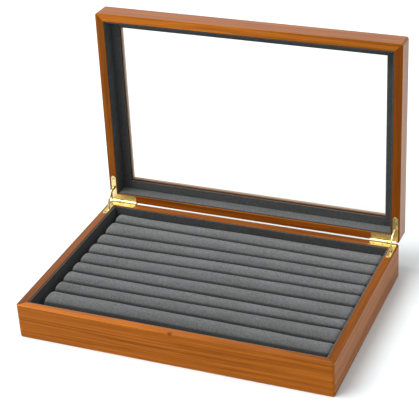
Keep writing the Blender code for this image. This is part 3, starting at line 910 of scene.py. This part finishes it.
def hinge_stay(node, side, material):
    """A brass arc across the hinge line, with a fixed stop at each end."""
    half = OPEN_ANGLE / 2 + STAY_END_ANGLE
    inner, outer = STAY_RADIUS - STAY_WIDTH / 2, STAY_RADIUS + STAY_WIDTH / 2
    points = arc((0.0, 0.0), outer, -math.pi / 2 - half, -math.pi / 2 + half, 48)
    points += arc((0.0, 0.0), inner, -math.pi / 2 + half, -math.pi / 2 - half, 48)
    mesh = plate(node, points, (), STAY_THICKNESS, 0.12 * MM)
    to_yz = Matrix(((0, 0, 1), (0, 1, 0), (-1, 0, 0))).to_4x4()
    mesh.transform(to_yz)
    at = PIVOT + Vector((side * ARM_CENTRE, 0.0, 0.0))
    mesh.transform(Matrix.Translation(at))
    stay = add(node, mesh)
    stops = []
    for sign in (-1, 1):
        angle = sign * (OPEN_ANGLE / 2 + STOP_ANGLE)
        stop = add("stop", turned("stop", rod_profile(STOP_RADIUS, STOP_LENGTH, 0.2 * MM), "X"))
        stop.location = at + Vector((0, -STAY_RADIUS * math.cos(angle), STAY_RADIUS * math.sin(angle)))
        stops.append(stop)
        boolean(stay, stop, "UNION")
    applied(stay)
    weld(stay.data)
    stay.data.materials.append(material)
    shade(stay, sharp=38)
    drop(*stops)
    finish(stay, node, HALF_OPEN)


# Velvet rolls.

ROLL_COUNT = 9
RIGHT_END_STRETCH = 1.5 * MM
ROLLS = [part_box(f"velvet_roll_{number}") for number in range(1, ROLL_COUNT + 1)]
ROLLS = [(low, high + Vector((RIGHT_END_STRETCH, 0, 0))) for low, high in ROLLS]
ROLL_LOW, ROLL_HIGH = ROLLS[0][0].z, ROLLS[0][1].z
# Where the slits between rolls run off the even spacing: metres back at the
# middle, metres back per metre to the right, and metres of bow at the middle.
SLITS = (
    (0.6 * MM, -0.010, 1.2 * MM),
    (1.0 * MM, 0.010, 0.4 * MM),
    (-1.0 * MM, -0.006, 0.2 * MM),
    (0.0 * MM, 0.013, 0.6 * MM),
    (0.3 * MM, 0.018, 1.4 * MM),
    (-0.8 * MM, 0.012, 2.0 * MM),
    (-0.8 * MM, 0.015, 1.0 * MM),
    (0.8 * MM, -0.011, 0.0),
)
CROWN = 6.8 * MM
CROWN_POWER = 2.5
LEFT_END_ROUND = 2.2 * MM
RIGHT_END_ROUND = 1.3 * MM
ROLL_SHRINK = 0.5 * MM
ROLL_GAP = 0.05 * MM
FRONT_BULGE = 2.0 * MM
CELLS_ALONG, CELLS_ACROSS, CELLS_UP = 104, 10, 9
GLUED_HEIGHT = 4 * MM
SWELL_CAP = 1.1 * MM
END_SWELL_CAP = 0.8 * MM
DIMPLE = 0.30 * MM
SIM_SCALE = 10.0  # the cloth solver's distances suit a model this many times larger


def slit_y(number, x):
    """The y of the slit behind roll number, or of the outer side of the first or last roll."""
    if number == 0:
        return ROLLS[0][0].y - FRONT_BULGE - 0.4 * MM * math.sin(19 * x)
    if number == len(ROLLS):
        return ROLLS[-1][1].y + 0.4 * MM * math.sin(23 * x + 1)
    shift, slope, bow = SLITS[number - 1]
    even = (ROLLS[number - 1][1].y + ROLLS[number][0].y) / 2
    half = ROLLS[0][1].x
    wave = 0.35 * MM * noise.noise(Vector((x * 22, number * 4.7, 0.3)))
    return even + shift + slope * x + bow * (1 - (x / half) ** 2) - bow / 2 + wave


def roll_surface(number, point):
    """The place on a roll's soft outer form of a point given by its x, -1 to 1 across, 0 to 1 up."""
    low, high = ROLLS[number - 1]
    x, t, h = point
    centre_x, half_x = (low.x + high.x) / 2, (high.x - low.x) / 2 - ROLL_SHRINK
    front, back = slit_y(number - 1, x) + ROLL_SHRINK, slit_y(number, x) - ROLL_SHRINK
    crown = CROWN * (1 - (1 - abs(t) ** CROWN_POWER) ** (1 / CROWN_POWER))
    from_end = half_x - abs(x - centre_x)
    rounding = LEFT_END_ROUND if x < centre_x else RIGHT_END_ROUND
    end = max(0.0, 1 - from_end / rounding)
    droop = rounding * (1 - math.sqrt(max(0.0, 1 - end * end))) * 0.9
    squeeze = 1 - 0.10 * end ** 3
    top = ROLL_HIGH - ROLL_SHRINK - crown - droop
    z = ROLL_LOW + (top - ROLL_LOW) * h
    y = (front + back) / 2 + (back - front) / 2 * t * squeeze
    return Vector((x, y, z))


def roll_body(number):
    """A roll just under its full size, as a grid, with its underside as a pinned group."""
    low, high = ROLLS[number - 1]
    half_x = (high.x - low.x) / 2 - ROLL_SHRINK
    centre_x = (low.x + high.x) / 2
    steps = [2 * i / CELLS_ALONG - 1 for i in range(CELLS_ALONG + 1)]
    closer_at_ends = [0.8 * step + 0.2 * math.sin(math.pi / 2 * step) for step in steps]
    xs = [centre_x + half_x * step for step in closer_at_ends]
    ts = [math.sin(math.pi / 2 * (2 * i / CELLS_ACROSS - 1)) for i in range(CELLS_ACROSS + 1)]
    hs = [i / CELLS_UP for i in range(CELLS_UP + 1)]
    mesh = grid_body("roll", xs, ts, hs)
    for vertex in mesh.vertices:
        vertex.co = roll_surface(number, vertex.co) * SIM_SCALE
    roll = add("roll", mesh)
    pinned = roll.vertex_groups.new(name="pinned")
    limit = (ROLL_LOW + GLUED_HEIGHT) * SIM_SCALE
    for vertex in mesh.vertices:
        if vertex.co.z < limit:
            pinned.add([vertex.index], 1.0, "REPLACE")
    return roll


def swell(rolls, frames=20):
    """Puffs the rolls up by cloth simulation, all at once, and makes the result final."""
    for roll in rolls:
        cloth = roll.modifiers.new("cloth", "CLOTH")
        settings = cloth.settings
        settings.quality = 6
        settings.mass = 0.3
        settings.tension_stiffness = 12
        settings.compression_stiffness = 12
        settings.bending_stiffness = 0.8
        settings.use_pressure = True
        settings.uniform_pressure_force = 2.4
        settings.effector_weights.gravity = 0.0
        settings.vertex_group_mass = "pinned"
    for step in range(1, frames + 1):
        SCENE.frame_set(step)
    for roll in rolls:
        applied(roll)
    SCENE.frame_set(1)


def build_rolls():
    """Nine rolls: shaped, swollen by simulation, kept apart, softened and covered."""
    rolls = [roll_body(number) for number in range(1, ROLL_COUNT + 1)]
    starts = [[vertex.co.copy() for vertex in roll.data.vertices] for roll in rolls]
    swell(rolls)
    for number, (roll, start) in enumerate(zip(rolls, starts), start=1):
        low, high = ROLLS[number - 1]
        shift = Vector((number * 3.7, number * 1.9, 0.0))
        for vertex, old in zip(roll.data.vertices, start):
            move = (vertex.co - old) / SIM_SCALE
            if move.length > SWELL_CAP:
                move *= SWELL_CAP / move.length
            place = old / SIM_SCALE + move
            upper = min(1.0, max(0.0, (place.z - ROLL_LOW) / (ROLL_HIGH - ROLL_LOW)))
            dimple = noise.noise(Vector((place.x * 34, place.y * 60, place.z * 60)) + shift)
            place.z += DIMPLE * upper * dimple
            front, back = slit_y(number - 1, place.x) + ROLL_GAP, slit_y(number, place.x) - ROLL_GAP
            place.y = min(max(place.y, front), back)
            place.x = min(max(place.x, low.x - END_SWELL_CAP), high.x + END_SWELL_CAP)
            vertex.co = place
        roll.modifiers.new("soften", "SUBSURF").levels = 1
        applied(roll)
        tone = 1.0 + 0.022 * (number - 5) + 0.05 * math.sin(2.4 * number)
        lit_before = (low.y + high.y) / 2 if number == 1 else None
        velvet = roll_fabric(f"velvet_{number}", number, tone, ROLL_HIGH, lit_before)
        roll.data.materials.append(velvet)
        roll.data.shade_smooth()
        finish(roll, f"velvet_roll_{number}")


# The tray.

FRONT_KNOT = (1.5 * MM, 1.2 * MM - DEPTH / 2, BASE_HEIGHT - 0.3 * MM, 1.5 * MM)


def build_base(cutters):
    """Rails round a well, with a seat below for the floor, then linings and the rolls' board."""
    # Each rail's lightness, redness and falloff, tops and sides apart: painted light and shade.
    woods = {
        "front": wood("pine_base_front", "X", 1.0, tone=1.18, outer=1.17, painted_falloff=1.5, knot=FRONT_KNOT),
        "right": wood("pine_base_right", "Y", 2.0, tone=0.64, outer=1.32, outer_red=-0.08, painted_falloff=-1.6,
                      polish=1.22),
        "back": wood("pine_base_back", "X", 3.0, tone=0.84, outer=1.0, painted_falloff=1.0, polish=1.75),
        "left": wood("pine_base_left", "Y", 4.0, tone=0.64, outer=1.0, painted_falloff=-2.0, polish=1.50),
    }
    well = hollow("well", WALL, -MARGIN, BASE_HEIGHT + MARGIN, flare_high=BASE_HEIGHT)
    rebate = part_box("base_floor")[1].x
    seat_inset = WIDTH / 2 - rebate - FLOOR_GAP
    seat = hollow("seat", seat_inset, -MARGIN, FLOOR_THICKNESS + FLOOR_GAP)
    edges = (EDGE_RADIUS, MEETING_EDGE_RADIUS)
    frame_rails("base", 0.0, BASE_HEIGHT, edges, (well, seat), cutters, woods)
    board = add("floor", rounded_panel(
        "floor", WIDTH / 2 - rebate, 0.0, FLOOR_THICKNESS, 1.0 * MM, 0.4 * MM, 0.4 * MM
    ))
    board.data.materials.append(wood("floor_ply", "X", 9.0, tone=0.72, gloss=0.6))
    shade(board)
    finish(board, "base_floor")
    low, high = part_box("base_lining_front")
    # Lightness of each side of the lining: painted light and shade.
    painted_shading = {"front": 0.65, "right": 0.65, "back": 0.63, "left": 0.60}
    strips("base_lining", LINING_INSET, LINING_THICKNESS, low.z, high.z, painted_shading)
    low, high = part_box("insert_board")
    bed = add("bed", fabric_body("bed", low, high, 0.9 * MM, 5 * MM, 0.1 * MM, 3))
    bed.data.materials.append(roll_fabric("bed_velvet", 23, 0.8))
    shade(bed, sharp=60)
    finish(bed, "insert_board")


def build_lid(cutters):
    """Rails with a lip round the window, the pane, the linings and the pane's retaining strips."""
    # Each rail's lightness, redness and falloff, tops and sides apart: painted light and shade.
    woods = {
        "front": wood("pine_lid_front", "X", 5.0, tone=1.46, outer=0.95, red=-0.02, painted_falloff=0.8, polish=1.65),
        "right": wood("pine_lid_right", "Y", 6.0, tone=0.57, outer=1.22, red=0.15, outer_red=-0.14),
        "back": wood("pine_lid_back", "X", 7.0, tone=0.86, outer=1.00, red=0.10),
        "left": wood("pine_lid_left", "Y", 8.0, tone=0.92, outer=1.00),
    }
    top = LID_FACE + LID_HEIGHT
    tray = hollow("tray", WALL, LID_FACE - MARGIN, LID_FACE + LIP_BOTTOM, flare_low=LID_FACE)
    window = hollow("window", LIP_REACH, LID_FACE, top + MARGIN, flare_high=top)
    edges = (MEETING_EDGE_RADIUS, EDGE_RADIUS)
    frame_rails("lid", LID_FACE, LID_HEIGHT, edges, (tray, window), cutters, woods, OPEN)
    pane = add("pane", rounded_panel(
        "pane", WALL + 0.3 * MM, LID_FACE + PANE_BOTTOM, PANE_THICKNESS,
        0.8 * MM, 0.3 * MM, 0.3 * MM, steps=2,
    ))
    pane.data.materials.append(clear_glass("window_glass"))
    shade(pane)
    finish(pane, "lid_glass", OPEN)
    # Lightness of each side of the lining: painted light and shade.
    painted_shading = {"front": 0.70, "right": 0.60, "back": 0.88, "left": 0.36}
    strips("lid_lining", LINING_INSET, LINING_THICKNESS,
           LID_FACE + LID_LINING_BOTTOM, LID_FACE + LID_LINING_TOP, painted_shading, OPEN)
    # Lightness of each side of the retaining strips: painted light and shade.
    painted_shading = {"front": 0.68, "right": 0.64, "back": 0.68, "left": 0.58}
    strips("glass_retainer", LINING_INSET, RETAINER_REACH - LINING_INSET,
           LID_FACE + RETAINER_BOTTOM, LID_FACE + RETAINER_TOP, painted_shading, OPEN, 0.08 * MM, 0.6 * MM)


def build_hinges():
    inner_knuckle = (KNUCKLE_INNER_END, KNUCKLE_SPLIT - KNUCKLE_GAP / 2)
    outer_knuckle = (KNUCKLE_SPLIT + KNUCKLE_GAP / 2, KNUCKLE_OUTER_END)
    plate_brass = brass("brass_plate", 1.0)
    rod_brass = brass("brass_turned", 2.0, brushed=False)
    screw = screw_master(rod_brass)
    for word, side in SIDES:
        base_name, lid_name = f"{word}_hinge_base_leaf", f"{word}_hinge_lid_leaf"
        hinge_leaf(base_name, side, -1, BASE_ARM_LENGTH, inner_knuckle, plate_brass, None)
        hinge_leaf(lid_name, side, 1, LID_ARM_LENGTH, outer_knuckle, plate_brass, OPEN)
        pin = rod("pin", side, PIN_RADIUS, KNUCKLE_INNER_END, KNUCKLE_OUTER_END, 0.45 * MM)
        pin.data.materials.append(rod_brass)
        shade(pin, sharp=50)
        finish(pin, f"{word}_hinge_pin")
        hinge_stay(f"{word}_hinge_stay", side, rod_brass)
        hinge_screws(screw, base_name, side, -1, BASE_ARM_LENGTH, None)
        hinge_screws(screw, lid_name, side, 1, LID_ARM_LENGTH, OPEN)
    drop(screw)


# Studio: a pale paper floor, a sky brighter overhead, and one large soft light.

SKY = 0.75
SKY_LOW = 0.30
SKY_BRIGHTEST = (-0.15, 0.25, 0.95)
KEY = 3.2
KEY_FROM = (-0.60, -0.28, 1.0)
KEY_WIDTH = math.radians(50.0)
PAPER_GLOW = 0.03


def build_studio():
    floor = add("studio_floor", block("studio_floor", (16.0, 16.0, 0.02), (0, 4.0, -0.0101)))
    s = Shader("white_paper")
    paper = s.noise(s.at(), (3, 3, 3), 2.0)
    white = s.mix(paper, (0.765, 0.805, 0.82), (0.785, 0.825, 0.84))
    floor.data.materials.append(s.finish(
        base_color=white, roughness=0.85, specular_ior_level=0.1,
        emission_color=(1.0, 1.0, 1.0), emission_strength=PAPER_GLOW,
    ))

    world = bpy.data.worlds.new("studio")
    world.use_nodes = True
    SCENE.world = world
    tree = world.node_tree
    background = tree.nodes["Background"]
    background.inputs["Color"].default_value = (1.0, 1.0, 1.0, 1.0)
    direction = tree.nodes.new("ShaderNodeTexCoord").outputs["Generated"]
    facing = tree.nodes.new("ShaderNodeVectorMath")
    facing.operation = "DOT_PRODUCT"
    facing.inputs[1].default_value = SKY_BRIGHTEST
    tree.links.new(direction, facing.inputs[0])
    shade_of_sky = tree.nodes.new("ShaderNodeMapRange")
    shade_of_sky.interpolation_type = "SMOOTHSTEP"
    tree.links.new(facing.outputs["Value"], shade_of_sky.inputs["Value"])
    for name, value in (("From Min", -0.2), ("From Max", 0.8), ("To Min", SKY_LOW), ("To Max", SKY)):
        shade_of_sky.inputs[name].default_value = value
    tree.links.new(shade_of_sky.outputs[0], background.inputs["Strength"])

    light = bpy.data.lights.new("key", "SUN")
    light.energy = KEY
    light.angle = KEY_WIDTH
    key = bpy.data.objects.new("key", light)
    key.rotation_euler = Vector(KEY_FROM).to_track_quat("Z", "Y").to_euler()
    SCENE.collection.objects.link(key)


CAMERA_PLACE = Vector((0.528068, -1.177367, 0.854427))
CAMERA_AZIMUTH = math.radians(24.017)
CAMERA_ELEVATION = math.radians(29.470)
CAMERA_ROLL = math.radians(-3.820)
CAMERA_LENS = 122.284
CAMERA_SENSOR = 36.0


def build_camera():
    level = math.cos(CAMERA_ELEVATION)
    forward = Vector((
        -math.sin(CAMERA_AZIMUTH) * level,
        math.cos(CAMERA_AZIMUTH) * level,
        -math.sin(CAMERA_ELEVATION),
    ))
    right = forward.cross(Vector((0, 0, 1))).normalized()
    up = right.cross(forward)
    right, up = (
        math.cos(CAMERA_ROLL) * right + math.sin(CAMERA_ROLL) * up,
        math.cos(CAMERA_ROLL) * up - math.sin(CAMERA_ROLL) * right,
    )
    place = Matrix((right, up, -forward)).transposed().to_4x4()
    place.translation = CAMERA_PLACE
    camera = bpy.data.objects.new("camera", bpy.data.cameras.new("camera"))
    SCENE.collection.objects.link(camera)
    camera.data.lens = CAMERA_LENS
    camera.data.sensor_width = CAMERA_SENSOR
    camera.matrix_world = place
    SCENE.camera = camera


def main():
    base_cutters = hinge_cutters(-1, BASE_ARM_LENGTH)
    build_base(base_cutters)
    lid_cutters = hinge_cutters(1, LID_ARM_LENGTH)
    build_lid(lid_cutters)
    for cutters in (base_cutters, lid_cutters):
        for group in cutters.values():
            drop(*group)
    build_hinges()
    build_rolls()
    build_studio()
    build_camera()
    SCENE.view_settings.view_transform = "Standard"


main()
